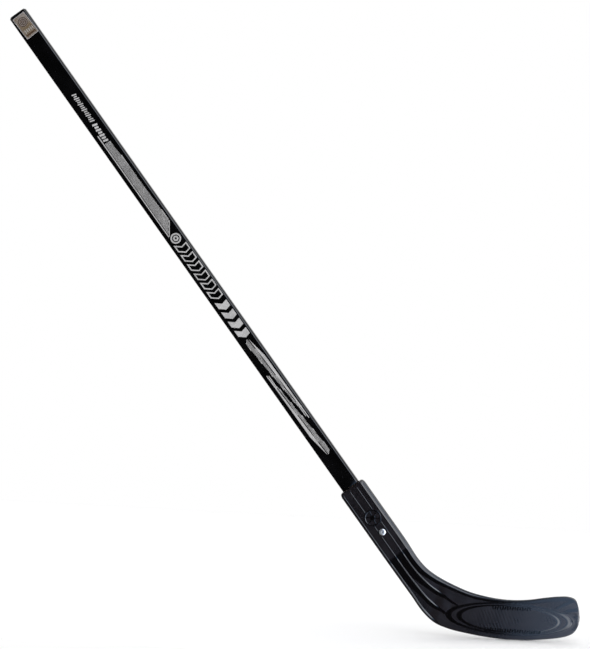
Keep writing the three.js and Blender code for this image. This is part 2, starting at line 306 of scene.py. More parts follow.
def mouldedAbs():        # black plastic: matte spark-eroded panels, polished ridges and flutes
    material, tree, shader = newMaterial("mouldedAbs", plasticLook["matte"], 0.3)
    gloss = addNode(tree, "ShaderNodeAttribute", attribute_name="polishAndPaintedShade").outputs["Fac"]
    spots = useGroup(tree, speckle, Fine_scale=1700, Drift_scale=26)
    drift = addRange(tree, spots.outputs["Drift"], 0.3, 0.7, 0.75, 1.25)
    grit = addRange(tree, spots.outputs["Fine"], 0.35, 0.65, 0.8, 1.2)
    shade = addShade(tree, addMath(tree, "MULTIPLY", drift, grit), plasticLook["matte"])
    # polished places get the darker colour; round the screw head this darker ring is painted shade
    tree.links.new(addMix(tree, gloss, shade, (*plasticLook["polished"], 1)), shader.inputs["Base Color"])
    worn = addRange(tree, spots.outputs["Drift"], 0.3, 0.7, *plasticLook["matteRough"])
    rough = addNode(tree, "ShaderNodeMix", {0: gloss, 2: worn, 3: plasticLook["polishedRough"]},
                    data_type="FLOAT").outputs[0]
    belowNought = addMath(tree, "MAXIMUM", addMath(tree, "MULTIPLY", gloss, -1.0), 0.0)
    coarse = addMath(tree, "MULTIPLY", belowNought, plasticLook["coarser"])
    tree.links.new(addMath(tree, "ADD", rough, coarse), shader.inputs["Roughness"])
    grain = addMath(tree, "MULTIPLY", spots.outputs["Fine"], addMath(tree, "SUBTRACT", 1.0, gloss))
    addBump(tree, shader, grain, 0.35, 0.00008)
    return material


def glossLacquer():      # black lacquer over wood, its grain just telegraphing through
    material, tree, shader = newMaterial("glossLacquer", (0.0022, 0.0022, 0.0026), 0.09)
    grain = useGroup(tree, alongGrain, Scale=700, Stretch=0.035)
    cloud = addRange(tree, grain.outputs["Cloud"], 0.45, 0.72, 0.0, 1.0)
    tree.links.new(addMix(tree, cloud, (0.0018, 0.0018, 0.0021, 1), (0.0036, 0.0035, 0.0042, 1)),
                   shader.inputs["Base Color"])
    tree.links.new(addRange(tree, grain.outputs["Cloud"], 0.3, 0.8, 0.06, 0.14), shader.inputs["Roughness"])
    addBump(tree, shader, grain.outputs["Streak"], 0.12, 0.00006)
    return material


def screenInk(name, colour):     # thin printed ink with pinholes and a slightly uneven lay-down
    material, tree, shader = newMaterial(name, colour, 0.45)
    spots = useGroup(tree, speckle, Fine_scale=2200, Drift_scale=60)
    thin = addRange(tree, spots.outputs["Fine"], 0.62, 0.72, 0.0, 0.55)
    laid = addRange(tree, spots.outputs["Drift"], 0.3, 0.7, 0.82, 1.08)
    shade = addShade(tree, laid, colour)
    tree.links.new(addMix(tree, thin, shade, (0.03, 0.03, 0.035, 1)), shader.inputs["Base Color"])
    addBump(tree, shader, spots.outputs["Fine"], 0.15, 0.00004)
    return material


def brightZinc():        # plated steel: fine turning marks and a faint cool stain
    material, tree, shader = newMaterial("brightZinc", (0.78, 0.79, 0.82), 0.3, 0.75)
    spots = useGroup(tree, speckle, Fine_scale=3500, Drift_scale=260)
    tree.links.new(addMix(tree, addRange(tree, spots.outputs["Drift"], 0.35, 0.7),
                          (0.86, 0.87, 0.88, 1), (0.62, 0.66, 0.74, 1)), shader.inputs["Base Color"])
    tree.links.new(addRange(tree, spots.outputs["Fine"], 0.3, 0.7, 0.24, 0.42), shader.inputs["Roughness"])
    addBump(tree, shader, spots.outputs["Fine"], 0.15, 0.00003)
    return material


def bareVeneer(name, light, dark):     # rotary-cut veneer with dark pores along the shaft
    material, tree, shader = newMaterial(name, light, 0.62)
    grain = useGroup(tree, alongGrain, Scale=520, Stretch=0.03)
    pores = addRange(tree, grain.outputs["Streak"], 0.35, 0.7)
    shade = addMix(tree, pores, (*dark, 1), (*light, 1))
    figure = addRange(tree, grain.outputs["Cloud"], 0.35, 0.7, 0.0, 0.5)
    tree.links.new(addMix(tree, figure, shade, (*dark, 1)), shader.inputs["Base Color"])
    tree.links.new(addRange(tree, grain.outputs["Streak"], 0.3, 0.7, 0.7, 0.52), shader.inputs["Roughness"])
    addBump(tree, shader, grain.outputs["Streak"], 0.4, 0.0001)
    return material


plastic = mouldedAbs()
lacquer = glossLacquer()
whiteInk = screenInk("whiteInk", (0.58, 0.575, 0.58))
zinc = brightZinc()
birch = bareVeneer("birchVeneer", (0.72, 0.55, 0.33), (0.45, 0.30, 0.15))
poplar = bareVeneer("poplarVeneer", (0.62, 0.44, 0.25), (0.40, 0.25, 0.12))
for node, piece in frame["nodes"].items():
    if "ply" in node:
        veneer = birch if "face" in node else poplar
        for place in piece.material_slots:
            place.material = veneer
print("materials ready")


# shaft: the lacquer coat as a thin cup over the plies, bevelled corners with soft edges
coat = {"bevel": 2.7, "skin": 0.3, "soft": 0.5, "softSteps": 4, "rowEvery": 12.0, "lip": (0.1, 0.06),
        "chamfer": 2.0, "chamferBow": 0.35, "chamferSteps": 4}

def bevelledRing(width, depth, bevel, soft, steps):      # an octagon whose corners are small arcs
    corners = []
    for sx, sy in ((1, 1), (-1, 1), (-1, -1), (1, -1)):
        onSide = (sx * width, sy * (depth - bevel))
        onFace = (sx * (width - bevel), sy * depth)
        corners += [onSide, onFace] if sx * sy > 0 else [onFace, onSide]
    ring = []
    for i, corner in enumerate(corners):
        here, before, after = (np.array(corners[(i + k) % 8]) for k in (0, -1, 1))
        back = (before - here) / np.linalg.norm(before - here)
        ahead = (after - here) / np.linalg.norm(after - here)
        for step in range(steps + 1):
            t = step / steps
            ring.append(here + back * soft * (1 - t) ** 2 + ahead * soft * t ** 2)
    return ring


def makeCoat():
    mouth = (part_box("lacquer_coat")[0].z - foot.z + halfWidth * mm * acrossShaft.z) / upShaft.z / mm
    length = buttReach - mouth
    skin, chamfer = coat["skin"], coat["chamfer"]
    rows = [(skin, skin + chamfer), (skin + chamfer, skin), (length, skin),
            (length, coat["lip"][1]), (length - coat["lip"][0], 0.0)]      # down from the butt, moved in
    rows += [(down, 0.0) for down in np.arange(length - coat["rowEvery"], chamfer + 1, -coat["rowEvery"])]
    for turn in np.linspace(0, 1, coat["chamferSteps"] + 1):
        bow = coat["chamferBow"] * (1 - turn) * turn
        rows.append((chamfer * (1 - turn) + bow, chamfer * turn - bow))
    points = []
    for down, inset in rows:
        bevel = coat["bevel"] - (2 - math.sqrt(2)) * inset
        ring = bevelledRing(halfWidth - inset, halfDepth - inset, bevel, coat["soft"], coat["softSteps"])
        points += [shaftPlace @ Vector((down, x, y)) for x, y in ring]
    points += [shaftPlace @ Vector((rows[end][0], 0, 0)) for end in (0, -1)]
    piece = meshPiece("shaft_lacquer", points, closedFaces(len(rows), len(ring)), lacquer)
    standOn(piece, "lacquer_coat")

makeCoat()
print("shaft ready")


# blade: the CAD model's guiding sections again, sole and top edge in millimetres on the row frame
def alongShaft(reach, across):
    place = foot / mm + upShaft * reach + acrossShaft * across
    return (place.x, place.z)

blade = {"mouth": 253, "depth": 101, "curveStart": -100, "toe": 86.5, "curveDepth": 22,
         "lipLength": 7, "lipInset": 3.2, "lipTaper": 0.5, "toeRound": 3, "toeThin": 0.55, "mostRound": 0.7,
         "frontStops": 96, "backStops": 48, "roundStops": 6, "rowEvery": 0.9, "lipUntil": 0.16, "lipRows": 16,
         "edgeCut": 1.3, "edgeGroove": 0.6, "grooveStop": 3, "cutUntil": 8, "cutGone": 10,
         "socketIn": 0.3, "socketCorner": 2.5, "socketFlare": 0.5, "flareDeep": 1.2}
sections = [        # sole edge, top edge, thickness, corner radius
    (alongShaft(blade["mouth"], -19), alongShaft(blade["mouth"], 19), 22, 3),
    (alongShaft(205, -19), alongShaft(205, 19), 22, 3),
    (alongShaft(150, -19), alongShaft(150, 19), 22, 3),
    (alongShaft(112, -18.9), alongShaft(120, 18), 18.5, 3),
    ((-146, 54.7), (-127, 93), 15.5, 2.9),
    ((-129.1, 33), (-114, 84), 13, 2.8),
    ((-113, 19.2), (-102, 77.7), 11, 2.6),
    ((-93, 11.4), (-86, 70.6), 9.5, 2.3),
    ((-68, 6.3), (-65, 62.9), 8.4, 2.1),
    ((-40, 2.3), (-39, 57.3), 7.6, 1.9),
    ((-12, -0.1), (-12, 54.7), 7, 1.8),
    ((14, -0.1), (14, 55.8), 6.6, 1.7),
    ((38, 1.9), (38, 59.5), 6.2, 1.6),
    ((56, 4), (56, 61.7), 6, 1.6),
    ((70, 7.2), (70, 61.8), 5.8, 1.6),
    ((79, 12), (79.5, 58.2), 5.6, 1.6),
    ((84.6, 20.8), (84.6, 46.3), 5.4, 1.6),
    ((blade["toe"], 29.5), (blade["toe"], 34.5), 5.2, 1.6)]
relief = {"ridges": (1, 35, 70, 94),      # which of the front's stops the four ridges run on
          "tips": (6.3, 6.4, 6.4), "start": 2.2, "begin": 0.12, "secondBend": (0.03, 6.3, 6.9),
          "thirdBend": (0.1, 6.4, 7.6), "narrowing": 0.68, "lastNarrowing": 0.14,
          "ridgeHigh": 0.5, "ridgeWide": 0.8, "polishHalf": (0.4, 0.75), "fluteDeep": 1.3, "grooveDeep": 0.35,
          "darkLeast": 1.6, "brightLeast": 0.7, "brightMore": 1.9, "lowestGone": (10, 13),
          "oval": (-10.6, 28.7), "ovalTilt": math.radians(-1.9), "outer": (87, 22.2), "inner": (71.8, 19.3),
          "step": 0.75, "stepWide": 0.085, "bead": 1.022, "beadHigh": 0.22,
          "ribPitch": 4.2, "ribHigh": 0.035, "ribTurn": math.radians(67), "ribSharp": 2.2,
          "rayCentre": (32, 34.3), "rays": (26.8, 11.5, -1.9, -18.7), "rayHalf": 6.0, "rayHigh": 0.16,
          "topStrip": 0.8, "medallion": (201.5, 0.0), "medallionRadius": 11.5, "spokes": 6,
          "ringHigh": 0.35, "spokeHigh": 0.25, "dish": 0.2}


def railPoints(points, places):     # centripetal Catmull-Rom curve, the same as the CAD model's rails
    points = np.array(points, float)
    ends = np.vstack([2 * points[0] - points[1], points, 2 * points[-1] - points[-2]])
    low = np.minimum(places.astype(int), len(points) - 2)
    p0, p1, p2, p3 = (ends[low + k] for k in range(4))
    t = (places - low)[:, None]
    d0, d1, d2 = (np.sqrt(np.linalg.norm(b - a, axis=1))[:, None] for a, b in ((p0, p1), (p1, p2), (p2, p3)))
    m1 = ((p1 - p0) / d0 - (p2 - p0) / (d0 + d1) + (p2 - p1) / d1) * d1
    m2 = ((p2 - p1) / d1 - (p3 - p1) / (d1 + d2) + (p3 - p2) / d2) * d1
    return p1 + m1 * t + (3 * (p2 - p1) - 2 * m1 - m2) * t ** 2 + (2 * (p1 - p2) + m1 + m2) * t ** 3


def toeCurve(x):        # how far the blade has swung back at this x
    span = blade["toe"] - blade["curveStart"]
    return blade["curveDepth"] * np.maximum(0, (x - blade["curveStart"]) / span) ** 2


def crestAcross(k, place):      # a crest keeps its place across the face, then bends towards the oval
    ridge = relief["ridges"][k] / blade["frontStops"] + 0 * place
    if k == 1:
        by, start, end = relief["secondBend"]
        ridge = ridge - by * smoothStep(place, start, end)
    if k == 2:
        by, start, end = relief["thirdBend"]
        ridge = ridge - by * (np.clip(place, start, end) - start)
    return ridge


def flutes(place, across, wide):    # height and polish of the ridges and the flutes they turn into
    high, polishAndPaintedShade = 0 * across, 0 * across
    onSocket = 1 - smoothStep(place, relief["start"], relief["start"] + relief["begin"])
    for k in range(4):
        near = np.abs(across - crestAcross(k, place)) * wide
        bump = 1 - smoothStep(near, 0, relief["ridgeWide"])
        high += relief["ridgeHigh"] * bump * onSocket
        polishAndPaintedShade = np.maximum(polishAndPaintedShade, onSocket * (1 - smoothStep(near, *relief["polishHalf"])))
    for k in range(3):
        left, right = crestAcross(k, place), crestAcross(k + 1, place)
        run = (place - relief["start"]) / (relief["tips"][k] - relief["start"])
        t = np.clip(run, 0, 1)
        within = (across >= left) & (across < right + 1e-6) & (run > 0)
        fromLeft, fromRight, band = (across - left) * wide, (right - across) * wide, (right - left) * wide
        share = 1 - relief["narrowing"] * smoothStep(t, 0.12, 0.7)
        share = share - relief["lastNarrowing"] * smoothStep(t, 0.7, 1)
        dark = np.maximum(band * share, relief["darkLeast"]) * (1 - 0.35 * smoothStep(run, 1, 1.3))
        bright = relief["brightLeast"] + relief["brightMore"] * t ** 1.5
        bright = bright * np.sqrt(np.clip((1 - t) / 0.25, 0, 1)) + 0.02      # closes at the flute's tip
        fall = np.clip(fromLeft / bright, 0, 1)
        rise = np.clip(1 - fromRight / dark, 0, 1) ** 1.6
        deep = relief["fluteDeep"] * smoothStep(run, 0, relief["begin"]) * (1 - smoothStep(t, 0.82, 1))
        deep = deep + relief["grooveDeep"] * smoothStep(run, 0.8, 1) * smoothStep(fromRight, 14, 6)
        flow = -deep * fall * (1 - rise)
        shine = np.maximum((fromLeft < bright) * (t < 1), smoothStep(fromRight - dark, 0.5, -0.2))
        shine = shine * smoothStep(run, 0, 0.02)
        lasting = 1 - smoothStep(place, *relief["lowestGone"]) if k == 2 else 1
        high = np.where(within, high + flow * lasting, high)
        polishAndPaintedShade = np.where(within, np.maximum(polishAndPaintedShade, shine * lasting), polishAndPaintedShade)
    return high, polishAndPaintedShade


def ovalParts(x, z, semi):     # 1 on the ellipse, less inside
    dx, dz = x - relief["oval"][0], z - relief["oval"][1]
    turn = relief["ovalTilt"]
    along = (dx * math.cos(turn) + dz * math.sin(turn)) / semi[0]
    up = (dz * math.cos(turn) - dx * math.sin(turn)) / semi[1]
    return np.hypot(along, up)


def ovalRelief(x, z, high, polishAndPaintedShade):     # two steps up with polished slopes, a bead round them, ribs within
    outer, inner = ovalParts(x, z, relief["outer"]), ovalParts(x, z, relief["inner"])
    outside = smoothStep(outer, 0.99, 1.01)
    high, polishAndPaintedShade = high * outside, polishAndPaintedShade * outside
    foot = 1 - relief["stepWide"]
    for r in (outer, inner):
        high = high + relief["step"] * (1 - smoothStep(r, foot, 1))
        slope = smoothStep(r, foot - 0.02, foot + 0.01) * (1 - smoothStep(r, 0.985, 1.01))
        polishAndPaintedShade = np.maximum(polishAndPaintedShade, slope)
    high = high + relief["beadHigh"] * (1 - smoothStep(np.abs(outer - relief["bead"]), 0.0, 0.02))
    alongRibs = x * math.sin(relief["ribTurn"]) + z * math.cos(relief["ribTurn"])
    ribs = np.tanh(relief["ribSharp"] * np.sin(2 * math.pi * alongRibs / relief["ribPitch"]))
    panel = 1 - smoothStep(inner, 0.86, 0.91)
    high = high + relief["ribHigh"] * ribs * panel * (1 - 0.7 * smoothStep(x, -30, 30))
    return high, polishAndPaintedShade, outer


def rayRelief(x, z, outer, high, polishAndPaintedShade):     # rays fan out to the toe, with coarser texture between them
    angle = np.degrees(np.arctan2(z - relief["rayCentre"][1], x - relief["rayCentre"][0]))
    beyond = smoothStep(outer, 1.03, 1.2) * smoothStep(x, 20, 45)
    streak = 0 * x
    for ray in relief["rays"]:
        beam = 1 - smoothStep(np.abs(angle - ray), 0, relief["rayHalf"])
        high = high + relief["rayHigh"] * beam * beyond
        streak = np.maximum(streak, smoothStep(beam, 0.3, 0.6))
    return high, np.maximum(polishAndPaintedShade, streak * beyond) - beyond * (1 - streak)     # below nought is coarser


def medallionRelief(x, z, high, polishAndPaintedShade):     # ring, spokes and hub on a shallow dish
    mx, mz = alongShaft(*relief["medallion"])
    r = np.hypot(x - mx, z - mz) / relief["medallionRadius"]
    clear = smoothStep(r, 1.02, 1.12)
    turned = np.arctan2(z - mz, x - mx)
    ring = 1 - smoothStep(np.abs(r - 0.93), 0.04, 0.08)
    beside = np.abs(np.sin(relief["spokes"] / 2 * turned)) * r
    spokes = (1 - smoothStep(beside, 0.08, 0.22)) * (r > 0.3) * (r < 0.86)
    hub = 1 - smoothStep(r, 0.24, 0.34)
    high = high * clear + relief["ringHigh"] * (ring + hub) + relief["spokeHigh"] * spokes
    high = high - relief["dish"] * (1 - smoothStep(r, 0.8, 0.9))
    return high, np.maximum(polishAndPaintedShade * clear, np.maximum(ring, np.maximum(spokes, hub)) * (r < 1.05))


def bladeRelief(place, across, x, z, wide):     # how far the front stands out, and how polished it is, with a darker polished ring of painted shade round the screw head
    high, polishAndPaintedShade = flutes(place, across, wide)
    high, polishAndPaintedShade, outer = ovalRelief(x, z, high, polishAndPaintedShade)
    high, polishAndPaintedShade = rayRelief(x, z, outer, high, polishAndPaintedShade)
    onTop = smoothStep(across, 0.90, 0.93) * smoothStep(x, -60, -20) * (1 - smoothStep(outer, 1.0, 0.98))
    polishAndPaintedShade = np.maximum(polishAndPaintedShade, onTop * relief["topStrip"])
    high, polishAndPaintedShade = medallionRelief(x, z, high, polishAndPaintedShade)
    sx, sz = alongShaft(screw["at"], 0)
    fromHead = np.hypot(x - sx, z - sz) - screw["head"] / 2
    clear = smoothStep(fromHead, 0.8, 2.6)
    seat = 1 - smoothStep(fromHead, 0.7, 1.1)      # polished, darker ring round the head: painted shade for the shadow round the screw head
    high = high * clear * smoothStep(blade["toe"] - x, 1, 9)
    return high, np.maximum(polishAndPaintedShade * clear, seat)


# the screw's values come before the blade is made, because the darker ring of painted shade round its head
# needs them
screw = {"at": 178, "head": 9.2, "headHigh": 2.6, "shank": 3.8, "length": 15, "tip": 4, "point": 0.02,
         "under": 0.2, "edge": 0.15, "seat": 3.2, "turned": 0.35, "turns": 64,
         "slot": 4.8, "slotWide": 1.4, "slotDeep": 1.8, "slotFoot": 0.62, "sharpFrom": math.radians(35),
         "dome": ((1, 0.35), (0.985, 0.5), (0.93, 0.68), (0.85, 0.81), (0.76, 0.9), (0.62, 0.965), (0.45, 1))}


def bladeStops():
    front = np.linspace(0, 1, blade["frontStops"] + 1)
    rear = np.linspace(1, 0, blade["backStops"] + 1)
    turns = np.linspace(0, 90, blade["roundStops"] + 1)[1:]
    stops = [(a, -1, 0) for a in front] + [(1, -1, t) for t in turns] + [(1, 1, t) for t in turns[::-1]]
    stops += [(a, 1, 0) for a in rear] + [(0, 1, t) for t in turns] + [(0, -1, t) for t in turns[::-1]]
    return np.array(stops).T


def bladeRows():
    sole = np.array([s[0] for s in sections])
    gaps = np.linalg.norm(np.diff(sole, axis=0), axis=1)
    gaps[-1] = max(gaps[-1], np.linalg.norm(np.array(sections[-1][1]) - np.array(sections[-2][1])))
    places = [np.linspace(0, blade["lipUntil"], blade["lipRows"])]
    for i, gap in enumerate(gaps):
        low = blade["lipUntil"] if i == 0 else i
        count = max(6, int(gap / blade["rowEvery"]))
        places.append(np.linspace(low, i + 1, count + 1)[1:])
    places.append(np.array([len(sections) - 1 - 0.001]))
    return np.unique(np.concatenate(places))


def socketRings(across, side, turn, swing):     # the socket's floor, then up its wall to the flared mouth
    corner = blade["socketCorner"]
    rings = []
    for reach, grow in ((blade["mouth"] - blade["depth"], 0), (blade["mouth"] - blade["flareDeep"], 0),
                        (blade["mouth"], blade["socketFlare"])):
        w, d = (half - blade["socketIn"] + grow - corner for half in (halfWidth, halfDepth))
        a = np.where(turn == 0, (2 * across - 1) * w, swing * (w + corner * np.sin(turn)))
        ring = np.array([foot / mm + upShaft * reach + acrossShaft * s for s in a])
        ring[:, 1] += side * (d + corner * np.cos(turn))
        rings.append(ring)
    return rings


def makeBlade():
    across, side, turn = bladeStops()
    turn = np.radians(turn)
    swing = np.where(across == 0, -1, 1)
    places = bladeRows()
    sole, top = (railPoints([s[i] for s in sections], places) for i in (0, 1))
    sole[:, 1] = np.maximum(0, sole[:, 1])
    wide = np.linalg.norm(top - sole, axis=1)
    direction = (top - sole) / wide[:, None]
    fromMouth = places * np.linalg.norm(np.array(sections[0][0]) - np.array(sections[1][0]))
    quarter = lambda run, length: np.sqrt(1 - (1 - np.clip(run / length, 0, 1)) ** 2)
    inset = blade["lipInset"] * (1 - quarter(fromMouth, blade["lipLength"]))
    fade = quarter(blade["toe"] - np.maximum(sole[:, 0], top[:, 0]), blade["toeRound"])
    thick, corner = (np.interp(places, np.arange(len(sections)), [s[i] for s in sections]) for i in (2, 3))
    half = (thick / 2 - blade["lipTaper"] * inset) * (blade["toeThin"] + (1 - blade["toeThin"]) * fade)
    radius = np.minimum(corner, blade["mostRound"] * half)
    clear = inset + radius
    flat = wide - 2 * clear

    onCut = (across == 1) & (side < 0)      # the upper edge's chamfer on the front, gone by the oval
    keen = 1 - smoothStep(places, blade["cutUntil"], blade["cutGone"])
    share = turn / (math.pi / 2)
    slide = np.where(onCut, share - 1, np.where((side < 0) & (turn == 0), -across, 0))
    bow = np.sin(turn) + np.outer(keen, np.where(onCut, share - np.sin(turn), 0))
    alongFace = clear[:, None] + np.outer(flat, across) + radius[:, None] * swing * bow
    alongFace = alongFace + np.outer(blade["edgeCut"] * keen, slide)
    x = sole[:, 0, None] + direction[:, 0, None] * alongFace
    z = sole[:, 1, None] + direction[:, 1, None] * alongFace

    grid = np.ones_like(x)
    high, polishAndPaintedShade = bladeRelief(places[:, None] * grid, across[None] * grid, x, z, flat[:, None] * grid)
    onFace = (turn == 0)[None] * smoothStep(fromMouth, 1, 6)[:, None] * fade[:, None]
    rise = np.cos(turn) + np.outer(keen, np.where(onCut, 1 - share - np.cos(turn), 0))
    groove = onCut & (np.arange(len(turn)) == blade["frontStops"] + blade["grooveStop"])
    fading = smoothStep(fromMouth, 3, 6) * keen      # polished upper edge with a fine groove
    out = (half - radius)[:, None] + radius[:, None] * rise + high * onFace
    out = out - np.outer(fading, groove * blade["edgeGroove"])
    y = side[None] * out + toeCurve(x) + shaftY
    polishAndPaintedShade = polishAndPaintedShade * onFace + np.outer(fading, onCut & ~groove)

    outside = np.stack([x, y, z], axis=-1)
    inside = np.array(socketRings(across, side, turn, swing))
    rings = np.concatenate([inside, outside])
    points = np.vstack([rings.reshape(-1, 3), rings[0].mean(axis=0), rings[-1].mean(axis=0)])
    shine = np.concatenate([np.zeros(inside[..., 0].size), polishAndPaintedShade.reshape(-1), (0, 0)])
    piece = meshPiece("blade_moulding", points * mm, closedFaces(len(rings), len(across)), plastic)
    piece.data.attributes.new("polishAndPaintedShade", "FLOAT", "POINT").data.foreach_set("value", shine.astype(np.float32))
    standOn(piece, "blade")
    return outside[:, :blade["frontStops"] + 1].reshape(-1, 3)

bladeFront = makeBlade()      # points of the front, for the dashes to stand on
print("blade ready")


# screw: a turned pan head with a crossed recess
def makeScrew():
    h, r, shank, turns = screw["headHigh"], screw["head"] / 2, screw["shank"] / 2, screw["turns"]
    outline = [(screw["point"], -screw["length"]), (shank, screw["tip"] - screw["length"]),
               (shank, -screw["under"]), (r - screw["edge"], 0.0), (r, screw["edge"])]
    outline += [(r * out, h * up) for out, up in screw["dome"]] + [(screw["point"], 1.01 * h)]
    points = []
    for radius, height in outline:
        for i in range(turns):
            angle = 2 * math.pi * i / turns
            points.append((radius * math.cos(angle), radius * math.sin(angle), height))
    faces = ringFaces(len(outline), turns)
    faces += [tuple(reversed(range(turns))), tuple((len(outline) - 1) * turns + i for i in range(turns))]
    body = meshPiece("screw_body", points, faces, zinc)
    cutters = []
    for alongX in (True, False):      # the recess's two arms, narrower at their foot
        box = []
        for taper, height in ((screw["slotFoot"], h - screw["slotDeep"]), (1, h + 0.5)):
            long, wide = screw["slot"] / 2 * taper, screw["slotWide"] / 2
            a, b = (long, wide) if alongX else (wide, long)
            box += [(-a, -b, height), (a, -b, height), (a, b, height), (-a, b, height)]
        cutter = meshPiece("slot", box, [(3, 2, 1, 0), (4, 5, 6, 7), (0, 1, 5, 4), (1, 2, 6, 5),
                                         (2, 3, 7, 6), (3, 0, 4, 7)], zinc, smooth=False)
        cut = body.modifiers.new("slot", "BOOLEAN")
        cut.operation, cut.object, cut.solver = "DIFFERENCE", cutter, "EXACT"
        cutters.append(cutter)
    bpy.context.view_layer.update()
    done = bpy.data.meshes.new_from_object(body.evaluated_get(bpy.context.evaluated_depsgraph_get()))
    for thing in (body, *cutters):
        bpy.data.objects.remove(thing)
    place = Matrix.Translation((buttReach - screw["at"], 0, halfDepth + screw["seat"]))
    done.transform(shaftPlace @ place @ Matrix.Rotation(screw["turned"], 4, "Z"))
    done.set_sharp_from_angle(angle=screw["sharpFrom"])
    piece = bpy.data.objects.new("pan_head_screw", done)
    bpy.context.scene.collection.objects.link(piece)
    standOn(piece, "blade_screw")

makeScrew()
print("screw ready")


# stamps: one tree puts a bar on every point, turned and stretched by the point's own values
def makeStampTree():
    tree = bpy.data.node_groups.new("barStamps", "GeometryNodeTree")
    tree.interface.new_socket("Geometry", in_out="INPUT", socket_type="NodeSocketGeometry")
    for label in ("Bar width", "Bar height"):
        tree.interface.new_socket(label, in_out="INPUT", socket_type="NodeSocketFloat")
    tree.interface.new_socket("Finish", in_out="INPUT", socket_type="NodeSocketMaterial")
    tree.interface.new_socket("Geometry", in_out="OUTPUT", socket_type="NodeSocketGeometry")
    given = addNode(tree, "NodeGroupInput")
    long = addNode(tree, "GeometryNodeInputNamedAttribute", {"Name": "barLength"}, data_type="FLOAT")
    turn = addNode(tree, "GeometryNodeInputNamedAttribute", {"Name": "barTurn"}, data_type="FLOAT_VECTOR")
    cube = addNode(tree, "GeometryNodeMeshCube", {"Size": (1, 1, 1)})
    size = addNode(tree, "ShaderNodeCombineXYZ", {0: given.outputs["Bar width"], 1: long.outputs["Attribute"],
                                                  2: given.outputs["Bar height"]})
    rotation = addNode(tree, "FunctionNodeEulerToRotation", {0: turn.outputs["Attribute"]})
    stamps = addNode(tree, "GeometryNodeInstanceOnPoints",
                     {"Points": given.outputs["Geometry"], "Instance": cube.outputs["Mesh"],
                      "Rotation": rotation.outputs[0], "Scale": size.outputs[0]})
    real = addNode(tree, "GeometryNodeRealizeInstances", {"Geometry": stamps.outputs["Instances"]})
    painted = addNode(tree, "GeometryNodeSetMaterial",
                      {"Geometry": real.outputs["Geometry"], "Material": given.outputs["Finish"]})
    addNode(tree, "NodeGroupOutput", {"Geometry": painted.outputs["Geometry"]})
    return tree

stampTree = makeStampTree()


def stampBars(name, bars, width, height, finish):      # bars are (place, length, turn about x, y and z)
    mesh = bpy.data.meshes.new(name + "_points")
    mesh.from_pydata([bar[0] for bar in bars], [], [])
    mesh.attributes.new("barLength", "FLOAT", "POINT").data.foreach_set("value", [bar[1] for bar in bars])
    turns = [value for bar in bars for value in bar[2]]
    mesh.attributes.new("barTurn", "FLOAT_VECTOR", "POINT").data.foreach_set("vector", turns)
    source = bpy.data.objects.new(name + "_points", mesh)
    bpy.context.scene.collection.objects.link(source)
    stamp = source.modifiers.new("stamps", "NODES")
    stamp.node_group = stampTree
    keys = {item.name: item.identifier for item in stampTree.interface.items_tree if item.in_out == "INPUT"}
    stamp[keys["Bar width"]] = width
    stamp[keys["Bar height"]] = height
    stamp[keys["Finish"]] = finish
    bpy.context.view_layer.update()
    done = bpy.data.meshes.new_from_object(source.evaluated_get(bpy.context.evaluated_depsgraph_get()))
    bpy.data.objects.remove(source)
    piece = bpy.data.objects.new(name, done)
    bpy.context.scene.collection.objects.link(piece)
    return piece


# prints on the shaft's front, in millimetres down from the butt and across the face
ink = {"high": 0.05, "lift": -0.01, "lean": math.tan(math.radians(16.5)),
       "hatchPitch": 1.9, "hatchWide": 1.05, "hatchMargin": 0.3}

def platesPiece(name, plates, material):     # flat inked plates; each is a closed outline
    points, faces = [], []
    for outline in plates:
        if not turnsLeft(outline):
            outline = outline[::-1]
        start, count = len(points), len(outline)
        low = [start + i for i in range(count)]
        high = [start + count + i for i in range(count)]
        for out in (halfDepth + ink["lift"], halfDepth + ink["lift"] + ink["high"]):
            points += [shaftPlace @ Vector((down, across, out)) for down, across in outline]
        faces += [tuple(reversed(low)), tuple(high)]
        faces += [(low[i], low[(i + 1) % count], high[(i + 1) % count], high[i]) for i in range(count)]
    piece = meshPiece(name, points, faces, material, smooth=False)
    standOn(piece, None)


def framePiece(name, loops, material):       # inked outlines; each is an outer and an inner loop
    points, faces = [], []
    for outer, inner in loops:
        if not turnsLeft(outer):
            outer, inner = outer[::-1], inner[::-1]
        count, start = len(outer), len(points)
        for out in (halfDepth + ink["lift"], halfDepth + ink["lift"] + ink["high"]):
            for loop in (outer, inner):
                points += [shaftPlace @ Vector((down, across, out)) for down, across in loop]
        lowOuter, lowInner, topOuter, topInner = (start + k * count for k in range(4))
        for i in range(count):
            j = (i + 1) % count
            faces += [(topOuter + i, topOuter + j, topInner + j, topInner + i),
                      (lowOuter + j, lowOuter + i, lowInner + i, lowInner + j),
                      (lowOuter + i, lowOuter + j, topOuter + j, topOuter + i),
                      (lowInner + j, lowInner + i, topInner + i, topInner + j)]
    piece = meshPiece(name, points, faces, material, smooth=False)
    standOn(piece, None)


def insetLoop(loop, by):       # every edge moved inwards by the same distance
    sign = 1 if turnsLeft(loop) else -1
    moved = []
    for i, here in enumerate(loop):
        e1 = np.array(here) - np.array(loop[i - 1])
        e2 = np.array(loop[(i + 1) % len(loop)]) - np.array(here)
        e1, e2 = e1 / np.linalg.norm(e1), e2 / np.linalg.norm(e2)
        n1, n2 = sign * np.array((-e1[1], e1[0])), sign * np.array((-e2[1], e2[0]))
        moved.append(tuple(np.array(here) + by * (n1 + n2) / (1 + float(n1 @ n2))))
    return moved


def chevron(down, across, long, point, half):      # an arrow band that leans like the rest of the print
    loop = [(0, half), (long, half), (long + point, 0), (long, -half), (0, -half), (point, 0)]
    return [(down + a + b * ink["lean"], across + b) for a, b in loop]


